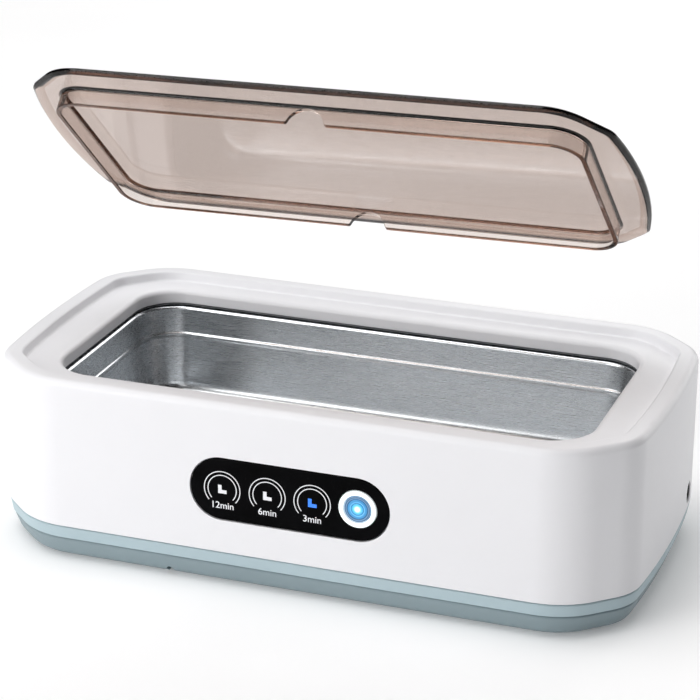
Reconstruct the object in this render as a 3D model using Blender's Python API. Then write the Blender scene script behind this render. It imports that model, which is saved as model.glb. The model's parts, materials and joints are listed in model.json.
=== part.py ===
"""Table-top ultrasonic cleaner for jewellery and spectacles.

A white housing with a steel tank stands on a two-tier grey base. The smoke-tinted lid is
held above the tank, front edge up, and swings down into the rim's recess. The axes are
+X to the right, +Y to the back and +Z up, and the origin is on the table under the centre.
Sizes below are in millimetres. The meshes are built in metres.
"""
import math

import bmesh
import bpy
from mathutils import Matrix, Quaternion, Vector

MM = 0.001
GAP = 0.3                  # clearance between neighbouring pieces

# Plans: long octagons whose ends bulge a little. Each gives x where the front's straight run
# ends, x and y where the cut corner meets the end, and how far the end's middle bulges.
DEPTH = 110.0              # front face to rear face
HOUSING_PLAN = (86.0, 103.0, 39.0, 2.0)
LID_PLAN = (81.0, 97.5, 37.6, 4.7)
FRONT_RADIUS = 25.0        # rounding where the front meets the cut corner
END_RADIUS = 16.0          # rounding where the cut corner meets the end
FILLET_STEPS = 3           # straight segments in each rounding
END_STEPS = 4              # straight segments along each end

# Heights.
RIM_TOP = 61.0
LEDGE_TOP = 58.0           # the lid's seat inside the rim
LEDGE_UNDER = 55.6
SKIRT_BOTTOM = 53.4        # lower edge of the wall round the tank mouth
FLANGE_TOP = 52.3          # the tank's flange, with the gasket between
HOUSING_BOTTOM = 12.0
FRAME_TOP, FRAME_BOTTOM = 11.7, 7.7
TONGUE_TOP = 13.4          # the base frame's lip inside the housing
COVER_TOP = 7.4
COVER_FLOOR = 4.2
COVER_BOTTOM = 0.6

# Insets from the housing's outline.
WALL = 2.6
RIM_INSET = 6.8            # foot of the recess round the lid
LID_INSET = 8.8

# Tank: half length, half depth and corner radius of the housing's mouth and of the flange.
MOUTH = (86.0, 40.0, 14.0)
FLANGE = (90.0, 44.0, 18.0)
TANK_FLOOR = 22.0
SHEET = 1.0                # tank sheet, with its forming radii

# Lid, in its closed place.
LID_UNDER = LEDGE_TOP + GAP
LID_TOP = 61.9
LIP = (81.7, 36.9, 10.0)   # outside of the lip that drops into the tank's mouth
LIP_WALL = 1.6
LIP_DEPTH = 5.6
NOTCH_RADIUS = 6.0         # finger notches at the middle of both long lip walls
NOTCH_DROP = 1.1           # their centre lies this far beyond the lip's edge
HINGE = (0.0, 83.6, 106.6)
HINGE_AXIS = (0.99965, 0.02612, -0.00428)  # a little askew, so the open lid also leans
LID_OPEN_DEG = 41.6        # how far the lid stands open from its seat

# Fixings.
POST = (90.0, 39.0)        # corner screw posts
POST_RADIUS, COVER_POST_RADIUS = 3.4, 4.0
SCREW_HOLE = 1.8
FOOT = (74.0, 36.0)
FOOT_RADIUS = 6.0

# Control panel, in the front face.
PANEL_Z = 33.1
PANEL_LENGTH, PANEL_HEIGHT, PANEL_THICK = 63.5, 20.0, 1.6
POCKET_DEPTH = 1.9
DIAL_X = (-21.45, -6.85, 7.55)
BUTTON_X, BUTTON_Z = 21.85, 33.3
RING_RADIUS, BUTTON_RADIUS = 6.0, 4.1

# Boards.
CONTROL_FRONT = -48.6      # front face of the upright control board
BOARD_THICK = 1.6
CONTROL_SCREW_X = 38.0
DRIVER_LOW, DRIVER_HIGH = (30.0, -34.0), (84.0, 34.0)
DRIVER_Z = 8.0
DRIVER_SCREWS = [(x, y) for x in (34.0, 80.0) for y in (-30.0, 30.0)]
ON_DRIVER = DRIVER_Z + BOARD_THICK + GAP

# Power inlet, low in the right-hand end.
JACK_Y, JACK_Z = 27.0, 17.0
JACK_HOLE = 3.5

FRONT = -DEPTH / 2


# ---------------------------------------------------------------- scene and materials

def clear_scene():
    for obj in list(bpy.data.objects):
        bpy.data.objects.remove(obj, do_unlink=True)


def make_material(name, colour, roughness, metallic=0.0, alpha=1.0):
    mat = bpy.data.materials.new(name)
    mat.use_nodes = True
    shader = mat.node_tree.nodes["Principled BSDF"]
    shader.inputs["Base Color"].default_value = (*colour, 1.0)
    shader.inputs["Roughness"].default_value = roughness
    shader.inputs["Metallic"].default_value = metallic
    shader.inputs["Alpha"].default_value = alpha
    return mat


FINISHES = {
    "white_shell": ((0.86, 0.86, 0.88), 0.35, 0.0),
    "grey_frame": ((0.45, 0.53, 0.57), 0.45, 0.0),
    "grey_cover": ((0.36, 0.43, 0.47), 0.45, 0.0),
    "steel": ((0.68, 0.70, 0.72), 0.25, 1.0),
    "black_gloss": ((0.01, 0.01, 0.012), 0.1, 0.0),
    "button_blue": ((0.10, 0.45, 0.95), 0.3, 0.0),
    "light_ring": ((0.85, 0.90, 0.95), 0.3, 0.0),
    "rubber": ((0.03, 0.03, 0.03), 0.8, 0.0),
    "board_green": ((0.02, 0.20, 0.08), 0.4, 0.0),
    "black_plastic": ((0.02, 0.02, 0.02), 0.5, 0.0),
    "white_plastic": ((0.80, 0.80, 0.76), 0.5, 0.0),
    "aluminium": ((0.75, 0.76, 0.77), 0.35, 1.0),
    "piezo_ceramic": ((0.55, 0.52, 0.45), 0.6, 0.0),
    "red_wire": ((0.60, 0.03, 0.03), 0.5, 0.0),
    "black_wire": ((0.02, 0.02, 0.02), 0.5, 0.0),
    "yellow_wrap": ((0.75, 0.58, 0.10), 0.5, 0.0),
    "blue_sleeve": ((0.05, 0.12, 0.40), 0.4, 0.0),
}


def finish(name):
    if name not in bpy.data.materials:
        make_material(name, *FINISHES[name])
    return bpy.data.materials[name]


# ---------------------------------------------------------------- outlines

def rounded(corners):
    """Round each (x, y, radius) corner of a counter-clockwise outline."""
    points = []
    for index, (x, y, radius) in enumerate(corners):
        here = Vector((x, y))
        if not radius:
            points.append(here)
            continue
        before = (Vector(corners[index - 1][:2]) - here).normalized()
        after = (Vector(corners[(index + 1) % len(corners)][:2]) - here).normalized()
        half = before.angle(after) / 2
        centre = here + (before + after).normalized() * radius / math.sin(half)
        start = here + before * radius / math.tan(half) - centre
        turn = math.pi - 2 * half
        for step in range(FILLET_STEPS + 1):
            points.append(centre + Matrix.Rotation(turn * step / FILLET_STEPS, 2) @ start)
    return points


def body_outline(inset, plan=HOUSING_PLAN):
    """The housing's or the lid's plan, moved inwards by inset."""
    flat_half, end_x, end_y, bulge = plan
    front = DEPTH / 2 - inset
    normal = Vector((DEPTH / 2 - end_y, end_x - flat_half)).normalized()
    reach = normal.dot(Vector((flat_half, DEPTH / 2))) - inset
    corner_x = (reach - normal.y * front) / normal.x
    arc = (end_y ** 2 + bulge ** 2) / (2 * bulge)
    arc_x = end_x + bulge - arc

    def end_at(y):
        return arc_x + math.sqrt((arc - inset) ** 2 - y ** 2)

    for _ in range(8):
        end_y = (reach - normal.x * end_at(end_y)) / normal.y
    soft = max(FRONT_RADIUS - inset, 2.0)
    tight = max(END_RADIUS - inset, 2.0)
    between = [end_y * (2 * k / END_STEPS - 1) for k in range(1, END_STEPS)]
    right = [(corner_x, -front, soft), (end_at(end_y), -end_y, tight)]
    right += [(end_at(y), y, 0) for y in between]
    right += [(end_at(end_y), end_y, tight), (corner_x, front, soft)]
    left = [(-x, -y, radius) for x, y, radius in right]
    return rounded(right + left)


def basin_outline(half_x, half_y, radius):
    """A rounded rectangle with as many points as body_outline, in the same order."""
    per_corner = 2 * FILLET_STEPS + 1
    straight = half_y - radius

    def corner(sign_y, start):
        return [Vector((half_x - radius, sign_y * straight))
                + radius * Vector((math.cos(start + a), math.sin(start + a)))
                for a in (math.pi / 2 * k / per_corner for k in range(per_corner + 1))]

    between = [Vector((half_x, straight * (2 * k / END_STEPS - 1))) for k in range(1, END_STEPS)]
    right = corner(-1, -math.pi / 2) + between + corner(1, 0.0)
    return right + [-point for point in right]


def grown(outline, amount):
    """A basin's (half length, half depth, radius), moved outwards by amount."""
    return tuple(value + amount for value in outline)


def stadium(length, height):
    """A slot shape lying along X, as (x, z) points."""
    radius = height / 2
    shift = length / 2 - radius
    points = []
    for k in range(9):
        angle = math.pi * k / 8 - math.pi / 2
        points.append(Vector((shift + radius * math.cos(angle), radius * math.sin(angle))))
    return points + [-point for point in points]


# ---------------------------------------------------------------- solids

def add_object(name, bm, look, origin=(0, 0, 0)):
    """Turn a bmesh in millimetres into an object whose origin is at origin."""
    bmesh.ops.recalc_face_normals(bm, faces=bm.faces)
    bmesh.ops.translate(bm, vec=-Vector(origin), verts=bm.verts)
    bmesh.ops.scale(bm, vec=(MM, MM, MM), verts=bm.verts)
    mesh = bpy.data.meshes.new(name)
    bm.to_mesh(mesh)
    bm.free()
    mesh.shade_smooth()
    mesh.set_sharp_from_angle(angle=math.radians(35))
    obj = bpy.data.objects.new(name, mesh)
    obj.location = Vector(origin) * MM
    if look:
        mesh.materials.append(finish(look))
    bpy.context.scene.collection.objects.link(obj)
    return obj


def loft(name, rings, look, closed=False, origin=(0, 0, 0)):
    """Skin rings of 3D points, closed into a tube or capped at both ends."""
    bm = bmesh.new()
    loops = [[bm.verts.new(point) for point in ring] for ring in rings]
    pairs = list(zip(loops, loops[1:]))
    if closed:
        pairs.append((loops[-1], loops[0]))
    else:
        bm.faces.new(loops[0])
        bm.faces.new(loops[-1])
    for low, high in pairs:
        for k in range(len(low)):
            following = (k + 1) % len(low)
            bm.faces.new((low[k], low[following], high[following], high[k]))
    return add_object(name, bm, look, origin)


def at_height(outline, z):
    return [Vector((point.x, point.y, z)) for point in outline]


def body_rings(pairs, plan=HOUSING_PLAN):
    return [at_height(body_outline(inset, plan), z) for inset, z in pairs]


def basin_rings(pairs):
    return [at_height(basin_outline(*outline), z) for outline, z in pairs]


def turned(name, profile, centre, look, axis="Z", segments=24):
    """Turn (radius, distance along axis) pairs about a line through centre."""
    turn = {"Z": Matrix.Identity(3),
            "Y": Matrix.Rotation(-math.pi / 2, 3, "X"),
            "X": Matrix.Rotation(math.pi / 2, 3, "Y")}[axis]
    rings = []
    for radius, along in profile:
        ring = []
        for k in range(segments):
            angle = 2 * math.pi * k / segments
            flat = Vector((radius * math.cos(angle), radius * math.sin(angle), along))
            ring.append(turn @ flat + Vector(centre))
        rings.append(ring)
    return loft(name, rings, look)


def block(name, low, high, look, bevel=0.0):
    """A box between two corners, with its edges bevelled if asked."""
    bm = bmesh.new()
    bmesh.ops.create_cube(bm, size=1.0)
    size = Vector(high) - Vector(low)
    bmesh.ops.scale(bm, vec=size, verts=bm.verts)
    bmesh.ops.translate(bm, vec=(Vector(high) + Vector(low)) / 2, verts=bm.verts)
    if bevel:
        bmesh.ops.bevel(bm, geom=bm.edges[:], offset=bevel, segments=1, affect="EDGES")
    return add_object(name, bm, look)


def slab_y(name, outline, centre_x, centre_z, front, back, look):
    """An (x, z) outline extruded from y = front to y = back."""
    rings = [[Vector((p.x + centre_x, y, p.y + centre_z)) for p in outline] for y in (front, back)]
    return loft(name, rings, look)


def apply_boolean(target, tools, operation):
    """Cut or join tool solids, then leave the tools out of the model."""
    for tool in tools:
        tool.hide_render = True
        tool.display_type = "WIRE"
        modifier = target.modifiers.new(f"{operation}_{tool.name}", "BOOLEAN")
        modifier.operation = operation
        modifier.solver = "EXACT"
        modifier.object = tool


def join(target, *tools):
    apply_boolean(target, tools, "UNION")


def cut(target, *tools):
    apply_boolean(target, tools, "DIFFERENCE")


def wire(name, route, radius, look, points=22):
    """A lead through route's points, smoothed with a Catmull-Rom curve."""
    spots = [Vector(point) for point in route]
    spots = [2 * spots[0] - spots[1]] + spots + [2 * spots[-1] - spots[-2]]
    spans = len(spots) - 3
    curve = bpy.data.curves.new(name, "CURVE")
    curve.dimensions = "3D"
    curve.bevel_depth = radius * MM
    curve.bevel_resolution = 2
    curve.use_fill_caps = True
    spline = curve.splines.new("POLY")
    spline.points.add(points - 1)
    for k in range(points):
        place = min(spans * k / (points - 1), spans - 1e-6)
        first = int(place)
        t = place - first
        a, b, c, d = spots[first:first + 4]
        smooth = 0.5 * (2 * b + (c - a) * t + (2 * a - 5 * b + 4 * c - d) * t ** 2
                        + (3 * b - 3 * c + d - a) * t ** 3)
        spline.points[k].co = (*(smooth * MM), 1.0)
    obj = bpy.data.objects.new(name, curve)
    curve.materials.append(finish(look))
    bpy.context.scene.collection.objects.link(obj)
    return obj


def four_corners(spot):
    """Names and places of the four mirrored copies of an (x, y) spot."""
    return [(f"{fore}_{side}", sx * spot[0], sy * spot[1])
            for fore, sy in (("front", -1), ("rear", 1)) for side, sx in (("left", -1), ("right", 1))]


# ---------------------------------------------------------------- casing

def make_housing():
    """White shell: outer wall, rim, recessed ledge and the wall round the tank mouth."""
    skirt_outer = grown(MOUTH, 2.2)
    rings = body_rings([(0.0, HOUSING_BOTTOM), (0.0, RIM_TOP - 2.2), (0.65, RIM_TOP - 0.65),
                        (2.2, RIM_TOP), (5.6, RIM_TOP), (6.3, RIM_TOP - 0.6),
                        (RIM_INSET, LEDGE_TOP)])
    rings += basin_rings([(MOUTH, LEDGE_TOP), (MOUTH, SKIRT_BOTTOM),
                          (skirt_outer, SKIRT_BOTTOM), (skirt_outer, LEDGE_UNDER)])
    rings += body_rings([(WALL, LEDGE_UNDER), (WALL, HOUSING_BOTTOM)])
    housing = loft("upper_housing", rings, "white_shell", closed=True)

    post_foot = HOUSING_BOTTOM + 2.0
    for tag, x, y in four_corners(POST):
        join(housing, turned(f"post_{tag}", [(POST_RADIUS, post_foot), (POST_RADIUS, 56.5)],
                             (x, y, 0), None, segments=16))
        cut(housing, turned(f"post_hole_{tag}", [(SCREW_HOLE, post_foot - 1), (SCREW_HOLE, 28.0)],
                            (x, y, 0), None, segments=12))
    pocket = stadium(PANEL_LENGTH + 2 * GAP, PANEL_HEIGHT + 2 * GAP)
    window = stadium(PANEL_LENGTH - 6.5, PANEL_HEIGHT - 6.0)
    cut(housing,
        slab_y("panel_pocket", pocket, 0, PANEL_Z, FRONT - 1, FRONT + POCKET_DEPTH, None),
        slab_y("panel_window", window, 0, PANEL_Z, FRONT - 1, FRONT + 4, None),
        turned("jack_hole", [(JACK_HOLE, 98.0), (JACK_HOLE, 108.0)], (0, JACK_Y, JACK_Z), None, "X", 20))
    for side, x in (("left", -CONTROL_SCREW_X), ("right", CONTROL_SCREW_X)):
        boss_end = CONTROL_FRONT - GAP
        join(housing, turned(f"board_boss_{side}", [(2.6, FRONT + 2.0), (2.6, boss_end)],
                             (x, 0, PANEL_Z), None, "Y", 16))
        cut(housing, turned(f"boss_hole_{side}", [(1.3, FRONT + 2.8), (1.3, boss_end + 1)],
                            (x, 0, PANEL_Z), None, "Y", 12))


def make_base_frame():
    """Upper grey tier, with the tongue that locates it inside the housing."""
    tongue = WALL + GAP
    rings = body_rings([(0.8, FRAME_BOTTOM), (0.1, FRAME_TOP), (tongue, FRAME_TOP),
                        (tongue, TONGUE_TOP), (tongue + 1.2, TONGUE_TOP),
                        (tongue + 1.2, FRAME_BOTTOM)])
    return loft("base_frame", rings, "grey_frame", closed=True)


def make_bottom_cover():
    """Lower grey tier and floor, with screw posts, board stand-offs, vents and a pry notch."""
    rings = body_rings([(4.8, COVER_BOTTOM), (3.2, COVER_BOTTOM + 1.1), (1.0, COVER_TOP),
                        (3.4, COVER_TOP), (4.6, COVER_FLOOR)])
    cover = loft("bottom_cover", rings, "grey_cover")
    for tag, x, y in four_corners(POST):
        join(cover, turned(f"cover_post_{tag}", [(COVER_POST_RADIUS, COVER_FLOOR - 1.2),
                                                 (COVER_POST_RADIUS, HOUSING_BOTTOM + 1.7)],
                           (x, y, 0), None, segments=16))
        cut(cover,
            turned(f"cover_hole_{tag}", [(SCREW_HOLE, 0.0), (SCREW_HOLE, 20.0)],
                   (x, y, 0), None, segments=12),
            turned(f"head_recess_{tag}", [(3.3, 0.0), (3.3, 6.0)], (x, y, 0), None, segments=16))
    for tag, x, y in four_corners(FOOT):
        cut(cover, turned(f"foot_recess_{tag}", [(FOOT_RADIUS + GAP, 0.0), (FOOT_RADIUS + GAP, 2.3)],
                          (x, y, 0), None, segments=20))
    for number, (x, y) in enumerate(DRIVER_SCREWS):
        join(cover, turned(f"standoff_{number}", [(2.6, COVER_FLOOR - 0.8), (2.6, DRIVER_Z - GAP)],
                           (x, y, 0), None, segments=14))
        cut(cover, turned(f"standoff_hole_{number}", [(1.3, COVER_FLOOR + 0.4), (1.3, DRIVER_Z + 1)],
                          (x, y, 0), None, segments=12))
    for number in range(6):
        x = -66.0 + 8.0 * number
        cut(cover, block(f"vent_{number}", (x - 1.1, -12, 0), (x + 1.1, 12, 6), None))
    cut(cover, turned("pry_notch", [(1.2, FRONT - 1), (1.2, FRONT + 6.5)],
                      (-40.8, 0, COVER_BOTTOM + 0.9), None, "Y", 12))


def make_feet():
    for tag, x, y in four_corners(FOOT):
        turned(f"foot_{tag}", [(FOOT_RADIUS - 0.7, 0.0), (FOOT_RADIUS, 0.6), (FOOT_RADIUS, 2.0)],
               (x, y, 0), "rubber", segments=20)


def make_screw(name, x, y, head_low, tip, head_radius, shank_radius):
    """A pan-head screw pointing up, whose head starts at head_low."""
    head_high = head_low + 1.9
    turned(name, [(head_radius * 0.7, head_low), (head_radius, head_low + 0.7),
                  (head_radius, head_high), (shank_radius, head_high),
                  (shank_radius, tip - 1.0), (0.5, tip)], (x, y, 0), "steel", segments=14)


def make_housing_screws():
    for tag, x, y in four_corners(POST):
        make_screw(f"housing_screw_{tag}", x, y, 3.8, 26.0, 2.9, 1.5)


# ---------------------------------------------------------------- tank and transducer

def make_tank():
    """Drawn steel tank: flange under the gasket, wall with a little draft, rounded floor."""
    mouth_in = grown(MOUTH, -0.5)
    inner = [(grown(mouth_in, 0.8), FLANGE_TOP), (mouth_in, FLANGE_TOP - 0.8),
             (grown(mouth_in, -0.9), TANK_FLOOR + 5.3), (grown(mouth_in, -2.7), TANK_FLOOR + 1.6),
             (grown(mouth_in, -6.4), TANK_FLOOR)]
    outer = [(grown(mouth_in, -6.2), TANK_FLOOR - SHEET),
             (grown(mouth_in, -2.0), TANK_FLOOR + 0.8), (grown(mouth_in, 0.1), TANK_FLOOR + 5.0),
             (grown(mouth_in, SHEET), FLANGE_TOP - SHEET), (FLANGE, FLANGE_TOP - SHEET),
             (FLANGE, FLANGE_TOP)]
    loft("tank", basin_rings(outer + inner), "steel")


def make_gasket():
    low, high = FLANGE_TOP + GAP, SKIRT_BOTTOM - GAP
    wide, narrow = grown(FLANGE, -0.4), grown(MOUTH, 0.6)
    loft("tank_gasket", basin_rings([(wide, low), (wide, high), (narrow, high), (narrow, low)]),
         "rubber", closed=True)


def make_transducer():
    pad_top = TANK_FLOOR - SHEET - GAP
    pad_low = pad_top - 2.0
    turned("transducer_pad", [(24.0, pad_low), (24.0, pad_top)], (0, 0, 0), "aluminium", segments=32)
    turned("piezo_disc", [(22.0, pad_low - GAP - 4.0), (22.5, pad_low - GAP - 3.5),
                          (22.5, pad_low - GAP)], (0, 0, 0), "piezo_ceramic", segments=32)


# ---------------------------------------------------------------- lid

def make_lid():
    """Bevelled clear plate with a lip that drops into the tank's mouth, hung open."""
    lip_in = grown(LIP, -LIP_WALL)
    lip_end = LID_UNDER - LIP_DEPTH
    rings = body_rings([(LID_INSET + 3.6, LID_TOP), (LID_INSET, LID_TOP - 1.9),
                        (LID_INSET, LID_UNDER + 0.8), (LID_INSET + 0.9, LID_UNDER)], LID_PLAN)
    rings += basin_rings([(LIP, LID_UNDER), (LIP, lip_end), (lip_in, lip_end),
                          (lip_in, LID_UNDER)])
    lid = loft("lid", rings, "smoke_clear", origin=HINGE)
    notch = turned("finger_notch", [(NOTCH_RADIUS, -45.0), (NOTCH_RADIUS, 45.0)],
                   (0, 0, lip_end - NOTCH_DROP), None, "Y", 24)
    notch.parent = lid
    notch.location = -Vector(HINGE) * MM
    cut(lid, notch)
    opened = Quaternion(HINGE_AXIS, -math.radians(LID_OPEN_DEG))
    lid.rotation_euler = opened.to_euler()


# ---------------------------------------------------------------- control panel

def make_control_panel():
    """Glossy stadium plate, flush with the front, with a hole for the button's ring."""
    plate = slab_y("control_panel", stadium(PANEL_LENGTH, PANEL_HEIGHT), 0, PANEL_Z,
                   FRONT, FRONT + PANEL_THICK, "black_gloss")
    hole = turned("button_hole", [(RING_RADIUS + GAP, FRONT - 1), (RING_RADIUS + GAP, FRONT + 4)],
                  (BUTTON_X, 0, BUTTON_Z), None, "Y", 28)
    cut(plate, hole)
    ring = turned("button_ring", [(RING_RADIUS, FRONT), (RING_RADIUS, FRONT + PANEL_THICK)],
                  (BUTTON_X, 0, BUTTON_Z), "light_ring", "Y", 28)
    bore = turned("ring_bore", [(BUTTON_RADIUS + GAP, FRONT - 1), (BUTTON_RADIUS + GAP, FRONT + 4)],
                  (BUTTON_X, 0, BUTTON_Z), None, "Y", 28)
    cut(ring, bore)
    flange = FRONT + PANEL_THICK + GAP
    turned("power_button", [(BUTTON_RADIUS - 0.2, FRONT), (BUTTON_RADIUS, FRONT + 0.2),
                            (BUTTON_RADIUS, flange), (BUTTON_RADIUS + 1.1, flange),
                            (BUTTON_RADIUS + 1.1, flange + 0.6), (1.4, flange + 0.6),
                            (1.4, flange + 1.2)],
           (BUTTON_X, 0, BUTTON_Z), "button_blue", "Y", 28)


def make_control_board():
    """Upright board behind the panel, with its switch, lights, chip and screws."""
    back = CONTROL_FRONT + BOARD_THICK
    board = block("control_board", (-41.5, CONTROL_FRONT, 23.0), (41.5, back, 43.5), "board_green")
    for side, x in (("left", -CONTROL_SCREW_X), ("right", CONTROL_SCREW_X)):
        cut(board, turned(f"board_hole_{side}", [(1.5, CONTROL_FRONT - 2), (1.5, back + 2)],
                          (x, 0, PANEL_Z), None, "Y", 12))
        turned(f"control_board_screw_{side}",
               [(0.4, CONTROL_FRONT - 3.2), (1.0, CONTROL_FRONT - 2.4), (1.0, back + GAP),
                (2.2, back + GAP), (2.2, back + 1.5), (1.5, back + 1.9)],
               (x, 0, PANEL_Z), "steel", "Y", 14)
    face = CONTROL_FRONT - GAP
    for minutes, x in zip(("12", "6", "3"), DIAL_X):
        block(f"timer_led_{minutes}_min", (x - 1.6, face - 1.2, PANEL_Z - 1.2),
              (x + 1.6, face, PANEL_Z + 1.2), "white_plastic", 0.2)
    switch = block("button_switch", (BUTTON_X - 3, face - 1.7, BUTTON_Z - 3),
                   (BUTTON_X + 3, face, BUTTON_Z + 3), "black_plastic")
    join(switch, turned("switch_plunger", [(1.2, face - 2.1), (1.2, face - 1.0)],
                        (BUTTON_X, 0, BUTTON_Z), None, "Y", 12))
    block("timer_chip", (-4.5, back + GAP, 30.0), (4.5, back + 1.7, 36.0), "black_plastic", 0.2)


# ---------------------------------------------------------------- driver electronics

def make_driver_board():
    board = block("driver_board", (*DRIVER_LOW, DRIVER_Z), (*DRIVER_HIGH, DRIVER_Z + BOARD_THICK),
                  "board_green")
    for number, (x, y) in enumerate(DRIVER_SCREWS):
        cut(board, turned(f"driver_hole_{number}", [(1.5, DRIVER_Z - 1), (1.5, DRIVER_Z + 3)],
                          (x, y, 0), None, segments=12))
        turned(f"driver_board_screw_{number + 1}",
               [(0.4, COVER_FLOOR + 0.8), (1.0, COVER_FLOOR + 1.6), (1.0, ON_DRIVER),
                (2.3, ON_DRIVER), (2.3, ON_DRIVER + 0.9), (1.5, ON_DRIVER + 1.4)],
               (x, y, 0), "steel", segments=14)


def make_heat_sink():
    """A finned extrusion standing on the board, its fins pointing left."""
    tip_x, root_x, back_x = 55.0, 60.0, 62.0
    fins, pitch, thick, start_y, height = 6, 4.0, 1.2, 3.0, 9.0
    end_y = start_y + pitch * (fins - 1) + thick
    outline = [Vector((back_x, start_y)), Vector((back_x, end_y))]
    for k in reversed(range(fins)):
        low = start_y + pitch * k
        outline += [Vector((tip_x, low + thick)), Vector((tip_x, low))]
        if k:
            outline += [Vector((root_x, low)), Vector((root_x, low - pitch + thick))]
    rings = [at_height(outline, z) for z in (ON_DRIVER, ON_DRIVER + height)]
    loft("heat_sink", rings, "aluminium")


def make_driver_parts():
    low = ON_DRIVER
    make_heat_sink()
    block("power_transistor", (62.4, 8.0, low), (66.8, 18.0, low + 8.5), "black_plastic", 0.3)
    block("transformer_core", (36.0, -26.0, low), (54.0, -21.5, low + 9.5), "black_plastic", 0.3)
    block("transformer_winding", (39.0, -21.2, low), (51.0, -11.0, low + 9.5), "yellow_wrap", 0.8)
    block("film_capacitor", (36.0, -6.0, low), (50.0, 0.5, low + 9.0), "yellow_wrap", 0.6)
    turned("bulk_capacitor", [(4.2, -27.0), (4.8, -26.4), (4.8, -7.6), (4.2, -7.0)],
           (64.0, 0, low + 4.9), "blue_sleeve", "Y", 20)
    block("piezo_connector", (33.0, 6.0, low), (39.0, 14.0, low + 6.5), "white_plastic", 0.3)
    block("inlet_connector", (74.0, 14.0, low), (81.0, 22.0, low + 6.5), "white_plastic", 0.3)


def make_dc_jack():
    """Barrel jack behind the end wall, its collar in the wall's hole."""
    spot = (0, JACK_Y, JACK_Z)
    jack = block("dc_jack", (91.0, JACK_Y - 4.5, JACK_Z - 3.3), (100.6, JACK_Y + 4.5, JACK_Z + 3.3),
                 "black_plastic")
    join(jack, turned("jack_collar", [(JACK_HOLE - GAP, 100.0), (JACK_HOLE - GAP, 103.5)],
                      spot, None, "X", 20))
    cut(jack, turned("jack_bore", [(2.75, 94.0), (2.75, 105.0)], spot, None, "X", 20))
    join(jack, turned("jack_pin", [(1.0, 93.0), (1.0, 102.3), (0.5, 102.8)], spot, None, "X", 10))


def make_leads():
    disc_low = TANK_FLOOR - SHEET - 2 * GAP - 6.0 - 1.2
    plug = ON_DRIVER + 3.0
    wire("piezo_lead_red", [(12, 4, disc_low), (20, 6, 9.5), (27, 8, 9.0), (32.0, 8.5, plug)],
         0.7, "red_wire")
    wire("piezo_lead_black", [(12, 10, disc_low), (19, 13, 8.5), (26, 12.5, 9.0), (32.0, 11.5, plug)],
         0.7, "black_wire")
    wire("inlet_lead_red", [(90.0, 26, 18.5), (87.0, 24, 17.5), (84.5, 20, 14.5), (82.0, 19.5, plug)],
         0.7, "red_wire")
    wire("inlet_lead_black", [(90.0, 24.5, 15.5), (87.5, 21, 14.5), (85, 17, 13.0), (82.0, 16.5, plug)],
         0.7, "black_wire")
    wire("control_cable", [(25, -46.0, 26.0), (27, -44.8, 18.0), (29, -42.5, 12.0), (33, -38.0, 10.8),
                           (37, -34.0, 11.2)], 1.0, "black_wire")


def build():
    clear_scene()
    make_material("smoke_clear", (0.20, 0.13, 0.10), 0.05, 0.0, 0.4)
    make_housing()
    make_base_frame()
    make_bottom_cover()
    make_feet()
    make_housing_screws()
    make_tank()
    make_gasket()
    make_transducer()
    make_lid()
    make_control_panel()
    make_control_board()
    make_driver_board()
    make_driver_parts()
    make_dc_jack()
    make_leads()


build()
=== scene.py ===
"""Looks of the ultrasonic cleaner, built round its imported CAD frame.

+X is right, +Y is back and +Z is up, with the origin on the table under the housing's centre.
Lengths are in millimetres until a mesh becomes an object, which is in metres.
"""

import json
import math

import bmesh
import bpy
from mathutils import Matrix, Quaternion, Vector


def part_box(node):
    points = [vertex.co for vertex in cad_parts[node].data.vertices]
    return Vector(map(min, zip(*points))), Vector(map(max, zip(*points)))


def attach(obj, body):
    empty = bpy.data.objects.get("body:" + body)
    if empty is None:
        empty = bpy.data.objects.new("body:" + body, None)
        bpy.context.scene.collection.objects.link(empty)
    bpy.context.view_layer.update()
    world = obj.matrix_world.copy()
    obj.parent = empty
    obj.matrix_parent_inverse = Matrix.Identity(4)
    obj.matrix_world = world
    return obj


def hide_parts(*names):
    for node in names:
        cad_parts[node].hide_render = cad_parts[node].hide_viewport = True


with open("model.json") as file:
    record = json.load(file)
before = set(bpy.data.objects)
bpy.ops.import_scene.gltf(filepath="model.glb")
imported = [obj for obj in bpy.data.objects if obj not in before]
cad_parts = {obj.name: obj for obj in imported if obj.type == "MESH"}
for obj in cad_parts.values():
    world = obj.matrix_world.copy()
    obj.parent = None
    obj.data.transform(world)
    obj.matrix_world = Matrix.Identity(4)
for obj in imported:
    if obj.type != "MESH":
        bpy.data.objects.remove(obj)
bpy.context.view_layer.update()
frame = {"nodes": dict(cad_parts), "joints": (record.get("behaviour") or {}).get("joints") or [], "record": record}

MM = 0.001
GAP = 0.3                   # clearance between neighbouring pieces, as in the CAD
ROUND_STEPS = 12            # segments in each rounding of the plan
END_STEPS = 12              # segments along each bulging end
EDGE_STEPS = 6              # segments in each rounding of a profile


def box_mm(node):
    low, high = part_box(node)
    return low / MM, high / MM


def middle(node):
    low, high = box_mm(node)
    return (low + high) / 2


# Heights and half sizes that the frame gives.
SHELL_LOW, SHELL_HIGH = box_mm("upper_housing")
HALF_LENGTH, HALF_DEPTH, RIM_TOP = SHELL_HIGH
SHELL_BOTTOM = SHELL_LOW.z
FRAME_LOW, FRAME_HIGH = box_mm("base_frame")
COVER_LOW, COVER_HIGH = box_mm("bottom_cover")
TANK_LOW, TANK_HIGH = box_mm("tank")
FLANGE_X, FLANGE_Y, FLANGE_TOP = TANK_HIGH
PANEL_LOW, PANEL_HIGH = box_mm("control_panel")
RING_LOW, RING_HIGH = box_mm("button_ring")
JACK_LOW, JACK_HIGH = box_mm("dc_jack")
FRONT = -HALF_DEPTH

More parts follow.
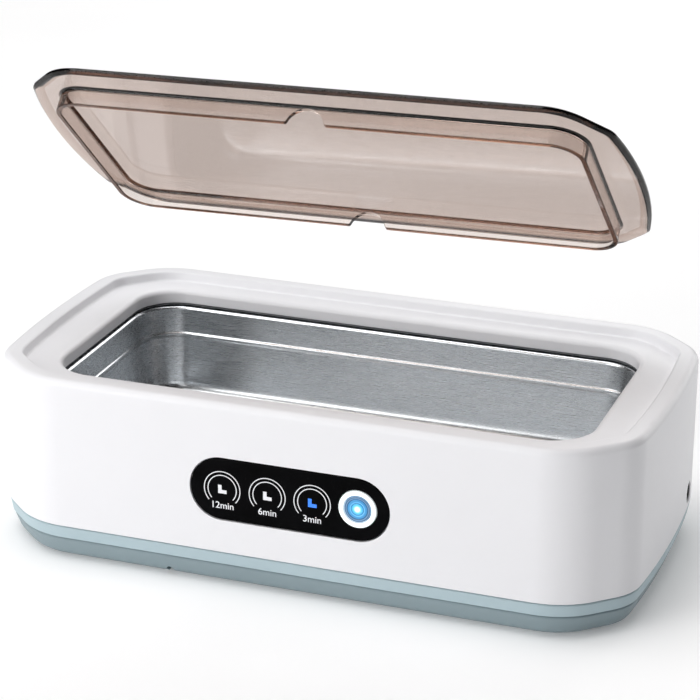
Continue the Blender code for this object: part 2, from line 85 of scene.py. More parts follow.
# Plans: long octagons whose ends bulge a little. Each gives x where the front's straight run
# ends, x and y where the cut corner meets the end, and how far the end's middle bulges.
HOUSING_PLAN = (86.0, HALF_LENGTH - 2.0, 39.0, 2.0)
LID_PLAN = (81.0, 97.5, 37.6, 4.7)
FRONT_RADIUS = 25.0
END_RADIUS = 16.0

# Rim, ledge and mouth.
LEDGE_TOP = RIM_TOP - 3.0
LEDGE_UNDER = LEDGE_TOP - 2.4
SKIRT_BOTTOM = FLANGE_TOP + 1.1
WALL = 2.6
RIM_INSET = 6.8
MOUTH = (FLANGE_X - 4.0, FLANGE_Y - 4.0, 14.0)
SHEET = 1.0
TANK_FLOOR = TANK_LOW.z + SHEET

# Lid, in its closed place.
LID_UNDER = LEDGE_TOP + GAP
LID_TOP = LID_UNDER + 3.6
LID_INSET = 8.8
LIP = (81.7, 36.9, 10.0)
LIP_WALL = 1.6
LIP_END = LID_UNDER - 5.6
NOTCH_RADIUS, NOTCH_DROP, NOTCH_BLEND = 6.0, 1.1, 1.0

POST_RADIUS, COVER_POST_RADIUS = 3.4, 4.0
SCREW_HOLE = 1.8
COVER_FLOOR = 4.2
VENT_COUNT, VENT_FIRST_X, VENT_PITCH = 6, -66.0, 8.0
VENT_LENGTH, VENT_WIDTH = 24.0, 2.2
PRY_NOTCH_X, PRY_NOTCH_RISE, PRY_NOTCH_RADIUS = -40.8, 0.9, 1.2

CAMERA_AZIMUTH, CAMERA_ELEVATION, CAMERA_ROLL = 19.8, 21.28, 0.2    # degrees
CAMERA_DISTANCE, CAMERA_LENS = 0.8, 131.02                          # metres, millimetres
CAMERA_TARGET_X = -0.39


# ---------------------------------------------------------------- outlines and profiles

def rounding(before, here, after, radius, steps):
    """Points of an arc of that radius where two straight lines meet at here."""
    here = Vector(here)
    back = (Vector(before) - here).normalized()
    ahead = (Vector(after) - here).normalized()
    half = back.angle(ahead) / 2
    centre = here + (back + ahead).normalized() * radius / math.sin(half)
    start = here + back * radius / math.tan(half) - centre
    turn = (math.pi - 2 * half) * (1 if back.cross(ahead) < 0 else -1)
    return [centre + Matrix.Rotation(turn * k / steps, 2) @ start for k in range(steps + 1)]


def rounded(corners, steps=ROUND_STEPS):
    """Round each (x, y, radius) corner of a closed outline."""
    points = []
    for index, (x, y, radius) in enumerate(corners):
        if radius:
            before = corners[index - 1][:2]
            after = corners[(index + 1) % len(corners)][:2]
            points += rounding(before, (x, y), after, radius, steps)
        else:
            points.append(Vector((x, y)))
    return points


def softened(path, steps=EDGE_STEPS):
    """Round the inner corners of an open path of (offset, height, radius) points."""
    points = [Vector(path[0][:2])]
    for before, here, after in zip(path, path[1:], path[2:]):
        if here[2]:
            points += rounding(before[:2], here[:2], after[:2], here[2], steps)
        else:
            points.append(Vector(here[:2]))
    return points + [Vector(path[-1][:2])]


def body_outline(inset, plan=HOUSING_PLAN):
    """The housing's or the lid's plan, moved inwards by inset."""
    flat_half, end_x, end_y, bulge = plan
    front = HALF_DEPTH - inset
    normal = Vector((HALF_DEPTH - end_y, end_x - flat_half)).normalized()
    reach = normal.dot(Vector((flat_half, HALF_DEPTH))) - inset
    corner_x = (reach - normal.y * front) / normal.x
    arc = (end_y ** 2 + bulge ** 2) / (2 * bulge)
    arc_x = end_x + bulge - arc

    def end_at(y):
        return arc_x + math.sqrt((arc - inset) ** 2 - y ** 2)

    for _ in range(8):
        end_y = (reach - normal.x * end_at(end_y)) / normal.y
    soft = max(FRONT_RADIUS - inset, 2.0)
    tight = max(END_RADIUS - inset, 2.0)
    start_y = end_y - tight * math.tan(normal.angle(Vector((1, 0))) / 2)
    between = [start_y * (2 * k / END_STEPS - 1) for k in range(1, END_STEPS)]
    right = [(corner_x, -front, soft), (end_at(end_y), -end_y, tight)]
    right += [(end_at(y), y, 0) for y in between]
    right += [(end_at(end_y), end_y, tight), (corner_x, front, soft)]
    left = [(-x, -y, radius) for x, y, radius in right]
    return rounded(right + left)


def basin_outline(half_x, half_y, radius):
    """A rounded rectangle with as many points as body_outline, in the same order."""
    per_corner = 2 * ROUND_STEPS + 1
    straight = half_y - radius

    def corner(sign_y, start):
        angles = [start + math.pi / 2 * k / per_corner for k in range(per_corner + 1)]
        return [Vector((half_x - radius + radius * math.cos(angle),
                        sign_y * straight + radius * math.sin(angle))) for angle in angles]

    between = [Vector((half_x, straight * (2 * k / END_STEPS - 1))) for k in range(1, END_STEPS)]
    right = corner(-1, -math.pi / 2) + between + corner(1, 0.0)
    return right + [-point for point in right]


def grown(outline, amount):
    """A basin's (half length, half depth, radius), moved outwards by amount."""
    return tuple(value + amount for value in outline)


def stadium(length, height, steps=32):
    """A slot shape lying along X, as (x, z) points."""
    radius = height / 2
    shift = length / 2 - radius
    points = []
    for k in range(steps + 1):
        angle = math.pi * (k / steps - 0.5)
        points.append(Vector((shift + radius * math.cos(angle), radius * math.sin(angle))))
    return points + [-point for point in points]


def body_rings(path, plan=HOUSING_PLAN):
    """Rings of a plan along a path of (inset, height, radius) points."""
    return [[Vector((p.x, p.y, height)) for p in body_outline(inset, plan)]
            for inset, height in softened(path)]


def basin_rings(base, path):
    """Rings of a basin outline grown along a path of (growth, height, radius) points."""
    return [[Vector((p.x, p.y, height)) for p in basin_outline(*grown(base, growth))]
            for growth, height in softened(path)]


# ---------------------------------------------------------------- solids

def add_object(name, bm, origin=(0, 0, 0)):
    """Turn a bmesh in millimetres into a smooth-shaded object in metres."""
    bmesh.ops.recalc_face_normals(bm, faces=bm.faces)
    bmesh.ops.translate(bm, vec=-Vector(origin), verts=bm.verts)
    bmesh.ops.scale(bm, vec=(MM, MM, MM), verts=bm.verts)
    mesh = bpy.data.meshes.new(name)
    bm.to_mesh(mesh)
    bm.free()
    obj = bpy.data.objects.new(name, mesh)
    obj.location = Vector(origin) * MM
    bpy.context.scene.collection.objects.link(obj)
    return obj


def loft(name, rings, closed=False, origin=(0, 0, 0)):
    """Skin rings of 3D points, closed into a tube or capped at both ends."""
    bm = bmesh.new()
    loops = [[bm.verts.new(point) for point in ring] for ring in rings]
    pairs = list(zip(loops, loops[1:]))
    if closed:
        pairs.append((loops[-1], loops[0]))
    else:
        bm.faces.new(loops[0])
        bm.faces.new(loops[-1])
    for low, high in pairs:
        for k in range(len(low)):
            following = (k + 1) % len(low)
            bm.faces.new((low[k], low[following], high[following], high[k]))
    return add_object(name, bm, origin)


AXES = {"Z": Matrix.Identity(3),
        "Y": Matrix.Rotation(-math.pi / 2, 3, "X"),
        "X": Matrix.Rotation(math.pi / 2, 3, "Y")}


def turned(name, path, centre, axis="Z", segments=64, closed=False, origin=(0, 0, 0)):
    """Turn a path of (radius, distance along axis, rounding) points about a line."""
    rings = []
    for radius, along in softened(path):
        angles = [2 * math.pi * k / segments for k in range(segments)]
        rings.append([AXES[axis] @ Vector((radius * math.cos(a), radius * math.sin(a), along))
                      + Vector(centre) for a in angles])
    return loft(name, rings, closed, origin)


def block(name, low, high):
    bm = bmesh.new()
    bmesh.ops.create_cube(bm, size=1.0)
    bmesh.ops.scale(bm, vec=Vector(high) - Vector(low), verts=bm.verts)
    bmesh.ops.translate(bm, vec=(Vector(high) + Vector(low)) / 2, verts=bm.verts)
    return add_object(name, bm)


def slab_y(name, levels, centre_x=0.0, centre_z=0.0, origin=(0, 0, 0)):
    """Skin (x, z) outlines, each standing at its own y."""
    rings = [[Vector((p.x + centre_x, y, p.y + centre_z)) for p in outline] for outline, y in levels]
    return loft(name, rings, origin=origin)


def combine(target, operation, tools):
    """Cut tools from target or join them to it, for good, and remove them."""
    for tool in tools:
        modifier = target.modifiers.new(operation, "BOOLEAN")
        modifier.operation = operation
        modifier.solver = "EXACT"
        modifier.object = tool
        bpy.context.view_layer.update()
        evaluated = target.evaluated_get(bpy.context.evaluated_depsgraph_get())
        mesh = bpy.data.meshes.new_from_object(evaluated)
        target.modifiers.clear()
        target.data = mesh
        bpy.data.objects.remove(tool, do_unlink=True)


def join(target, *tools):
    combine(target, "UNION", tools)


def cut(target, *tools):
    combine(target, "DIFFERENCE", tools)


def shade(obj, sharp_deg=35):
    """Smooth shading whose flat faces stay flat."""
    obj.data.shade_smooth()
    obj.data.set_sharp_from_angle(angle=math.radians(sharp_deg))
    weights = obj.modifiers.new("weighted_normals", "WEIGHTED_NORMAL")
    weights.keep_sharp = True


def show(obj, body, slot, *nodes):
    """Finish a piece: its shading, its body, its material and the CAD nodes it stands for."""
    shade(obj)
    obj.data.materials.clear()
    obj.data.materials.append(LOOKS[slot])
    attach(obj, body)
    if nodes:
        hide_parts(*nodes)
    return obj


# ---------------------------------------------------------------- materials

def start_material(name):
    mat = bpy.data.materials.new(name)
    mat.use_nodes = True
    return mat, mat.node_tree, mat.node_tree.nodes["Principled BSDF"]


def object_coordinates(tree, stretch=(1, 1, 1)):
    """The object's own coordinates in millimetres, stretched along the axes."""
    coords = tree.nodes.new("ShaderNodeTexCoord")
    mapping = tree.nodes.new("ShaderNodeMapping")
    mapping.inputs["Scale"].default_value = [value / MM for value in stretch]
    tree.links.new(coords.outputs["Object"], mapping.inputs["Vector"])
    return mapping.outputs["Vector"]


def noise(tree, per_mm, detail=3.0, stretch=(1, 1, 1)):
    texture = tree.nodes.new("ShaderNodeTexNoise")
    texture.inputs["Scale"].default_value = per_mm
    texture.inputs["Detail"].default_value = detail
    tree.links.new(object_coordinates(tree, stretch), texture.inputs["Vector"])
    return texture.outputs["Fac"]


def between(tree, factor, low, high):
    """Map a 0.3 to 0.7 noise onto low to high."""
    node = tree.nodes.new("ShaderNodeMapRange")
    node.inputs["From Min"].default_value = 0.3
    node.inputs["From Max"].default_value = 0.7
    node.inputs["To Min"].default_value = low
    node.inputs["To Max"].default_value = high
    tree.links.new(factor, node.inputs["Value"])
    return node.outputs["Result"]


def ramp(tree, factor, stops, interpolation="LINEAR"):
    """A colour ramp of (place, colour) stops."""
    node = tree.nodes.new("ShaderNodeValToRGB")
    node.color_ramp.interpolation = interpolation
    elements = node.color_ramp.elements
    while len(elements) < len(stops):
        elements.new(1.0)
    for element, (place, colour) in zip(elements, stops):
        element.position = place
        element.color = (*colour, 1.0)
    tree.links.new(factor, node.inputs["Fac"])
    return node.outputs["Color"]


def bump(tree, shader, height, depth_mm):
    node = tree.nodes.new("ShaderNodeBump")
    node.inputs["Strength"].default_value = 1.0
    node.inputs["Distance"].default_value = depth_mm * MM
    tree.links.new(height, node.inputs["Height"])
    tree.links.new(node.outputs["Normal"], shader.inputs["Normal"])


def tinted(colour, factor):
    return tuple(min(channel * factor, 1.0) for channel in colour)


def moulded(name, colour, roughness, grain_per_mm, grain_depth, swing=0.03, specular=0.5):
    """Moulded plastic or rubber: faint mottling, uneven gloss and a fine mould grain."""
    mat, tree, shader = start_material(name)
    mottle = noise(tree, 0.045)
    stops = [(0.3, tinted(colour, 1 - swing)), (0.7, tinted(colour, 1 + swing))]
    tree.links.new(ramp(tree, mottle, stops), shader.inputs["Base Color"])
    gloss = between(tree, noise(tree, 0.3), roughness * 0.9, roughness * 1.12)
    tree.links.new(gloss, shader.inputs["Roughness"])
    shader.inputs["Specular IOR Level"].default_value = specular
    bump(tree, shader, noise(tree, grain_per_mm, 2.0), grain_depth)
    return mat


def metal(name, colour, roughness, stretch, grain_depth, swing=0.06):
    """Metal with a fine drawn or brushed grain, long where stretch is small."""
    mat, tree, shader = start_material(name)
    grain = noise(tree, 1.0, 4.0, stretch)
    stops = [(0.3, tinted(colour, 1 - swing)), (0.7, tinted(colour, 1 + swing))]
    tree.links.new(ramp(tree, grain, stops), shader.inputs["Base Color"])
    shader.inputs["Metallic"].default_value = 1.0
    gloss = between(tree, grain, roughness * 0.8, roughness * 1.25)
    tree.links.new(gloss, shader.inputs["Roughness"])
    bump(tree, shader, grain, grain_depth)
    return mat


def lid_turn():
    """Matrix that carries the closed lid to where the lid is held open."""
    swing = next(joint for joint in frame["joints"] if joint["name"] == "lid_swing")
    pivot = Matrix.Translation(swing["pos_m"])
    opened = Quaternion(swing["axis"], -math.radians(swing["range_deg"][1])).to_matrix().to_4x4()
    return pivot @ opened @ pivot.inverted()


# lid_share and lid_height place the lid's painted shade by height.
def lid_share(height):
    """Share of the way from the lip's free edge to the top of the lid's plate."""
    return (height - LIP_END) / (LID_TOP - LIP_END)


def lid_height(tree):
    """The same share, for a point on the open lid, as a node output."""
    across = lid_turn().inverted()[2]
    coords = tree.nodes.new("ShaderNodeTexCoord")
    along = tree.nodes.new("ShaderNodeVectorMath")
    along.operation = "DOT_PRODUCT"
    along.inputs[1].default_value = across[:3]
    tree.links.new(coords.outputs["Object"], along.inputs[0])
    share = tree.nodes.new("ShaderNodeMapRange")
    share.inputs["From Min"].default_value = LIP_END * MM - across[3]
    share.inputs["From Max"].default_value = LID_TOP * MM - across[3]
    tree.links.new(along.outputs["Value"], share.inputs["Value"])
    return share.outputs["Result"]


def smoke_clear():
    """Smoke-brown clear plastic that absorbs through its thickness, with painted shade by height: darker browns at
    the lip's free edge, at the lip's root and along the plate's edge band, and a slightly darker tint on the lip
    wall, stand in for the dark lines that refraction and inner reflection give there.
    """
    mat, tree, shader = start_material("smoke_clear")
    haze = between(tree, noise(tree, 0.08), 0.02, 0.05)
    tree.links.new(haze, shader.inputs["Roughness"])
    # Painted shade: the wall, edge, root and band colours are darker than the clear plate and stand in for the
    # shade that refraction and inner reflection put along the lip and the plate's edge.
    clear, wall = (0.99, 0.985, 0.98), (0.93, 0.90, 0.88)
    edge, painted_root_shade, painted_band_shade = (0.20, 0.10, 0.06), (0.36, 0.24, 0.18), (0.62, 0.50, 0.44)
    heights = [(LIP_END + 0.25, edge), (LIP_END + 0.45, wall), (LID_UNDER - 0.9, wall),
               (LID_UNDER - 0.5, painted_root_shade), (LID_UNDER - 0.08, painted_root_shade), (LID_UNDER - 0.03, clear),
               (LID_UNDER + 0.03, clear), (LID_UNDER + 0.08, painted_band_shade), (LID_TOP - 0.15, painted_band_shade),
               (LID_TOP - 0.05, clear)]
    stops = [(lid_share(height), colour) for height, colour in heights]
    tree.links.new(ramp(tree, lid_height(tree), stops), shader.inputs["Base Color"])
    shader.inputs["Transmission Weight"].default_value = 1.0
    shader.inputs["IOR"].default_value = 1.36
    shader.inputs["Specular IOR Level"].default_value = 0.05
    bump(tree, shader, noise(tree, 0.05, 1.0), 0.01)
    absorb = tree.nodes.new("ShaderNodeVolumeAbsorption")
    absorb.inputs["Color"].default_value = (0.52, 0.37, 0.29, 1.0)
    absorb.inputs["Density"].default_value = 215.0
    output = tree.nodes["Material Output"]
    tree.links.new(absorb.outputs["Volume"], output.inputs["Volume"])
    return mat


def panel_black():
    """High-gloss black with barely uneven polish."""
    mat, tree, shader = start_material("panel_black")
    stops = [(0.3, (0.0012, 0.0012, 0.0015)), (0.7, (0.003, 0.003, 0.0036))]
    tree.links.new(ramp(tree, noise(tree, 0.1), stops), shader.inputs["Base Color"])
    tree.links.new(between(tree, noise(tree, 0.25), 0.10, 0.16), shader.inputs["Roughness"])
    shader.inputs["Specular IOR Level"].default_value = 0.03
    bump(tree, shader, noise(tree, 0.4, 1.0), 0.002)
    return mat


def lit(name, colour, strength, roughness=0.35):
    """A translucent moulding lit from behind, a little uneven."""
    mat, tree, shader = start_material(name)
    stops = [(0.3, tinted(colour, 0.94)), (0.7, tinted(colour, 1.04))]
    uneven = ramp(tree, noise(tree, 0.6), stops)
    tree.links.new(uneven, shader.inputs["Base Color"])
    tree.links.new(uneven, shader.inputs["Emission Color"])
    shader.inputs["Emission Strength"].default_value = strength
    tree.links.new(between(tree, noise(tree, 1.5), roughness * 0.9, roughness * 1.1),
                   shader.inputs["Roughness"])
    bump(tree, shader, noise(tree, 5.0, 2.0), 0.003)
    return mat


def button_blue():
    """The lit button: rings of blue round a white-hot centre."""
    mat, tree, shader = start_material("button_blue")
    flat = object_coordinates(tree, (1, 0, 1))
    length = tree.nodes.new("ShaderNodeVectorMath")
    length.operation = "LENGTH"
    tree.links.new(flat, length.inputs[0])
    share = tree.nodes.new("ShaderNodeMath")
    share.operation = "DIVIDE"
    share.inputs[1].default_value = BUTTON_RADIUS
    tree.links.new(length.outputs["Value"], share.inputs[0])
    stops = [(0.00, (1.0, 1.0, 0.95)), (0.15, (0.78, 0.96, 1.0)), (0.27, (0.14, 0.54, 0.80)),
             (0.42, (0.05, 0.34, 0.62)), (0.47, (0.02, 0.13, 0.28)), (0.53, (0.14, 0.46, 0.76)),
             (0.60, (0.05, 0.25, 0.50)), (0.74, (0.04, 0.20, 0.42)), (0.80, (0.03, 0.08, 0.16)),
             (0.86, (0.14, 0.28, 0.46)), (0.93, (0.04, 0.08, 0.15)), (1.00, (0.12, 0.22, 0.34))]
    glow = ramp(tree, share.outputs["Value"], stops)
    tree.links.new(glow, shader.inputs["Base Color"])
    tree.links.new(glow, shader.inputs["Emission Color"])
    shader.inputs["Emission Strength"].default_value = 0.65
    tree.links.new(between(tree, noise(tree, 1.0), 0.18, 0.26), shader.inputs["Roughness"])
    bump(tree, shader, noise(tree, 3.0, 2.0), 0.004)
    return mat


def circuit_board():
    """Green solder mask over copper tracks."""
    mat, tree, shader = start_material("board_green")
    cells = tree.nodes.new("ShaderNodeTexVoronoi")
    cells.distance = "CHEBYCHEV"
    cells.inputs["Scale"].default_value = 0.35
    tree.links.new(object_coordinates(tree), cells.inputs["Vector"])
    stops = [(0.0, (0.10, 0.42, 0.16)), (0.12, (0.05, 0.30, 0.10)), (0.16, (0.015, 0.16, 0.06)),
             (0.62, (0.02, 0.20, 0.08)), (0.66, (0.035, 0.26, 0.10))]
    tree.links.new(ramp(tree, cells.outputs["Distance"], stops, "CONSTANT"),
                   shader.inputs["Base Color"])
    tree.links.new(between(tree, noise(tree, 0.5), 0.3, 0.42), shader.inputs["Roughness"])
    bump(tree, shader, cells.outputs["Distance"], 0.03)
    return mat


def banded(name, colour, roughness, bands_per_mm, depth):
    """Wound tape or a shrink sleeve: fine bands along its length."""
    mat, tree, shader = start_material(name)
    wave = tree.nodes.new("ShaderNodeTexWave")
    wave.bands_direction = "Z"
    wave.inputs["Scale"].default_value = bands_per_mm
    wave.inputs["Distortion"].default_value = 0.6
    tree.links.new(object_coordinates(tree), wave.inputs["Vector"])
    stops = [(0.0, tinted(colour, 0.82)), (0.35, tinted(colour, 1.0)), (1.0, tinted(colour, 1.08))]
    tree.links.new(ramp(tree, wave.outputs["Fac"], stops), shader.inputs["Base Color"])
    tree.links.new(between(tree, noise(tree, 0.8), roughness * 0.85, roughness * 1.15),
                   shader.inputs["Roughness"])
    bump(tree, shader, wave.outputs["Fac"], depth)
    return mat


BUTTON_RADIUS = RING_HIGH.x - (RING_LOW.x + RING_HIGH.x) / 2 - 1.9

LOOKS = {
    "white_shell": moulded("white_shell", (0.86, 0.86, 0.885), 0.34, 1.1, 0.0012, 0.006, 0.4),
    "grey_frame": moulded("grey_frame", (0.45, 0.565, 0.61), 0.42, 2.0, 0.004, 0.02, 0.3),
    "grey_cover": moulded("grey_cover", (0.26, 0.33, 0.358), 0.45, 2.0, 0.005, 0.025, 0.3),
    "smoke_clear": smoke_clear(),
    "tank_steel": metal("tank_steel", (0.66, 0.68, 0.70), 0.26, (0.15, 0.9, 6.0), 0.004),
    "gasket": moulded("gasket", (0.16, 0.17, 0.18), 0.65, 2.0, 0.01, 0.05),
    "rubber": moulded("rubber", (0.03, 0.03, 0.032), 0.75, 2.5, 0.02, 0.08),
    "screw_steel": metal("screw_steel", (0.62, 0.62, 0.63), 0.28, (2.0, 2.0, 5.0), 0.003),
    "aluminium": metal("aluminium", (0.75, 0.76, 0.77), 0.34, (3.0, 3.0, 0.2), 0.005),
    "piezo_ceramic": moulded("piezo_ceramic", (0.55, 0.52, 0.45), 0.6, 4.0, 0.012, 0.08),
    "panel_black": panel_black(),
    "light_ring": lit("light_ring", (0.90, 0.985, 1.0), 0.35),
    "button_blue": button_blue(),
    "board_green": circuit_board(),
    "black_plastic": moulded("black_plastic", (0.02, 0.02, 0.022), 0.45, 3.0, 0.012, 0.1),
    "white_plastic": moulded("white_plastic", (0.80, 0.80, 0.76), 0.45, 3.0, 0.01, 0.03),
    "ferrite": moulded("ferrite", (0.06, 0.06, 0.062), 0.55, 5.0, 0.02, 0.15),
    "yellow_wrap": banded("yellow_wrap", (0.75, 0.58, 0.10), 0.4, 0.35, 0.02),
    "blue_sleeve": banded("blue_sleeve", (0.05, 0.12, 0.40), 0.3, 0.08, 0.01),
    "red_wire": moulded("red_wire", (0.60, 0.03, 0.03), 0.4, 1.5, 0.01, 0.06),
    "black_wire": moulded("black_wire", (0.02, 0.02, 0.02), 0.4, 1.5, 0.01, 0.1),
}
PRINT_WHITE = lit("print_white", (0.80, 0.81, 0.84), 0.12)
PRINT_BLUE = lit("print_blue", (0.03, 0.20, 0.85), 0.45)


def paint_frame_nodes():
    """Give every CAD node the procedural material of its slot."""
    for part in frame["record"]["subparts"]:
        node = frame["nodes"][part["node"]]
        node.data.materials.clear()
        node.data.materials.append(LOOKS[part["material_slot"]])


# ---------------------------------------------------------------- housing and base

POSTS = {tag: middle(f"housing_screw_{tag}") for tag in
         ("front_left", "front_right", "rear_left", "rear_right")}
BOARD_SCREWS = [middle(f"driver_board_screw_{number}") for number in (1, 2, 3, 4)]
PANEL_Z = (PANEL_LOW.z + PANEL_HIGH.z) / 2
PANEL_LENGTH = PANEL_HIGH.x - PANEL_LOW.x
PANEL_HEIGHT = PANEL_HIGH.z - PANEL_LOW.z
JACK_Y, JACK_Z = (JACK_LOW.y + JACK_HIGH.y) / 2, (JACK_LOW.z + JACK_HIGH.z) / 2
JACK_HOLE = 3.5


def panel_pocket():
    """Cutter for the panel's seat, flared at its mouth into a fine edge rounding."""
    def level(growth, y):
        return stadium(PANEL_LENGTH + 2 * growth, PANEL_HEIGHT + 2 * growth), FRONT + y
    return slab_y("panel_pocket", [level(0.75, -0.3), level(0.55, -0.01), level(0.38, 0.07),
                                   level(GAP, 0.25), level(GAP, 1.9)], 0, PANEL_Z)


def make_housing():
    """White shell: outer wall, soft rim, recessed ledge and the wall round the mouth."""
    outside = [(2.0, SHELL_BOTTOM, 0), (0.0, SHELL_BOTTOM, 0.35), (0.0, RIM_TOP, 2.4),
               (6.1, RIM_TOP, 0.8), (RIM_INSET, LEDGE_TOP, 0.9), (RIM_INSET + 2.6, LEDGE_TOP, 0)]
    skirt = [(2.0, LEDGE_TOP, 0), (0.0, LEDGE_TOP, 1.6), (0.0, SKIRT_BOTTOM, 0.5),
             (2.2, SKIRT_BOTTOM, 0.3), (2.2, LEDGE_UNDER, 0)]
    inside = [(WALL, LEDGE_UNDER, 0), (WALL, SHELL_BOTTOM, 0)]
    rings = body_rings(outside) + basin_rings(MOUTH, skirt) + body_rings(inside)
    housing = loft("white_housing", rings, closed=True)
    post_foot = SHELL_BOTTOM + 2.0
    for tag, spot in POSTS.items():
        centre = (spot.x, spot.y, 0)
        join(housing, turned("post", [(POST_RADIUS, post_foot, 0), (POST_RADIUS, 56.5, 0)], centre))
        cut(housing, turned("hole", [(SCREW_HOLE, post_foot - 1, 0), (SCREW_HOLE, 28.0, 0)],
                            centre, segments=24))
    window = stadium(PANEL_LENGTH - 6.5, PANEL_HEIGHT - 6.0)
    cut(housing, panel_pocket(),
        slab_y("window", [(window, FRONT - 1), (window, FRONT + 4)], 0, PANEL_Z),
        turned("jack_hole", [(JACK_HOLE, HALF_LENGTH - 7, 0), (JACK_HOLE, HALF_LENGTH - 1.4, 0),
                             (JACK_HOLE + 1.0, HALF_LENGTH, 0)], (0, JACK_Y, JACK_Z), "X"))
    for side in ("left", "right"):
        low, high = box_mm(f"control_board_screw_{side}")
        centre = ((low.x + high.x) / 2, 0, (low.z + high.z) / 2)
        boss_end = box_mm("control_board")[0].y - GAP
        join(housing, turned("boss", [(2.6, FRONT + 2.0, 0), (2.6, boss_end, 0)], centre, "Y", 32))
        cut(housing, turned("boss_hole", [(1.3, FRONT + 2.8, 0), (1.3, boss_end + 1, 0)],
                            centre, "Y", 24))
    show(housing, "housing", "white_shell", "upper_housing")


def make_base_frame():
    """Upper grey tier, with the tongue that locates it inside the housing."""
    low, top = FRAME_LOW.z, SHELL_BOTTOM - GAP
    tongue = WALL + GAP
    path = [(2.4, low, 0), (0.8, low, 0.3), (0.1, top, 0.5), (tongue, top, 0),
            (tongue, FRAME_HIGH.z, 0.3), (tongue + 1.2, FRAME_HIGH.z, 0.3), (tongue + 1.2, low, 0)]
    show(loft("grey_base_frame", body_rings(path), closed=True), "housing", "grey_frame", "base_frame")


def make_bottom_cover():
    """Lower grey tier and floor: posts, stand-offs, vents, foot seats and a pry notch."""
    low, top = COVER_LOW.z, FRAME_LOW.z - GAP
    path = [(4.8, low, 0), (3.2, low + 1.1, 4.0), (1.0, top, 0.7), (3.4, top, 0.2),
            (4.6, COVER_FLOOR, 0)]
    cover = loft("grey_bottom_cover", body_rings(path))
    for spot in POSTS.values():
        centre = (spot.x, spot.y, 0)
        join(cover, turned("post", [(COVER_POST_RADIUS, COVER_FLOOR - 1.2, 0),
                                    (COVER_POST_RADIUS, COVER_HIGH.z, 0)], centre, segments=40))
        cut(cover, turned("hole", [(SCREW_HOLE, 0.0, 0), (SCREW_HOLE, 20.0, 0)], centre, segments=24),
            turned("head_recess", [(3.3, 0.0, 0), (3.3, 6.0, 0)], centre, segments=40))
    for tag in POSTS:
        spot = middle(f"foot_{tag}")
        radius = (box_mm(f"foot_{tag}")[1].x - spot.x) + GAP
        cut(cover, turned("seat", [(radius, 0.0, 0), (radius, 2.3, 0)], (spot.x, spot.y, 0)))
    board_low = box_mm("driver_board")[0].z
    for spot in BOARD_SCREWS:
        centre = (spot.x, spot.y, 0)
        join(cover, turned("standoff", [(2.6, COVER_FLOOR - 0.8, 0), (2.6, board_low - GAP, 0)],
                           centre, segments=32))
        cut(cover, turned("pilot", [(1.3, COVER_FLOOR + 0.4, 0), (1.3, board_low + 1, 0)],
                          centre, segments=24))
    for number in range(VENT_COUNT):
        x = VENT_FIRST_X + VENT_PITCH * number
        slot = [Vector((p.y, p.x)) for p in stadium(VENT_LENGTH, VENT_WIDTH, 12)]
        rings = [[Vector((x + p.x, p.y, z)) for p in slot] for z in (0.0, 6.0)]
        cut(cover, loft("vent", rings))
    cut(cover, turned("pry_notch", [(PRY_NOTCH_RADIUS, FRONT - 1, 0),
                                    (PRY_NOTCH_RADIUS, FRONT + 6.5, 0)],
                      (PRY_NOTCH_X, 0, low + PRY_NOTCH_RISE), "Y", 32))
    show(cover, "housing", "grey_cover", "bottom_cover")


def make_feet():
    """Rubber feet with a turned groove in their soles."""
    for tag in POSTS:
        low, high = box_mm(f"foot_{tag}")
        centre = ((low.x + high.x) / 2, (low.y + high.y) / 2, 0)
        radius = (high.x - low.x) / 2
        path = [(0.6, 0.5, 0), (2.2, 0.5, 0.2), (2.5, 0.0, 0.15), (3.4, 0.0, 0.15), (3.6, 0.4, 0.1),
                (4.1, 0.4, 0.1), (4.3, 0.0, 0.15), (radius - 0.1, 0.0, 0.5), (radius, high.z, 0.1),
                (0.6, high.z, 0)]
        foot = turned(f"rubber_foot_{tag}", path, centre)
        show(foot, "housing", "rubber", f"foot_{tag}")


def make_housing_screws():
    """Pan-head screws with a cross recess, pointing up."""
    for tag, spot in POSTS.items():
        low, high = box_mm(f"housing_screw_{tag}")
        radius = (high.x - low.x) / 2
        shank = 1.5
        path = [(0.2, low.z, 0), (radius, low.z, 1.0), (radius, low.z + 1.9, 0.15),
                (shank, low.z + 1.9, 0)]
        turns = 14
        pitch = (high.z - low.z - 4.0) / turns
        for k in range(turns):
            start = low.z + 3.0 + pitch * k
            path += [(shank - 0.25, start, 0), (shank, start + pitch / 2, 0)]
        path.append((0.3, high.z, 0))
        screw = turned(f"cross_screw_{tag}", path, (spot.x, spot.y, 0), segments=40)
        for wide, deep in ((1.7, 0.28), (0.28, 1.7)):
            corner = Vector((wide, deep, 0))
            centre = Vector((spot.x, spot.y, 0))
            cut(screw, block("recess", centre - corner + Vector((0, 0, low.z - 1)),
                             centre + corner + Vector((0, 0, low.z + 0.9))))
        show(screw, "housing", "screw_steel", f"housing_screw_{tag}")


def make_jack():
    """Barrel jack in the end wall, with a sprung pin in its bore."""
    spot = (0, JACK_Y, JACK_Z)
    block_end = JACK_HIGH.x - 2.9
    jack = block("barrel_jack", JACK_LOW, (block_end, JACK_HIGH.y, JACK_HIGH.z))
    join(jack, turned("collar", [(JACK_HOLE - GAP, block_end - 1, 0),
                                 (JACK_HOLE - GAP, JACK_HIGH.x, 0.25),
                                 (1.0, JACK_HIGH.x, 0)], spot, "X", 48))
    cut(jack, turned("bore", [(2.75, 94.0, 0), (2.75, JACK_HIGH.x - 0.3, 0),
                              (3.05, JACK_HIGH.x + 0.3, 0)], spot, "X", 48))
    join(jack, turned("pin", [(1.0, 93.0, 0), (1.0, 102.6, 0.4), (0.2, 102.8, 0)], spot, "X", 24))
    show(jack, "housing", "black_plastic", "dc_jack")


# ---------------------------------------------------------------- tank

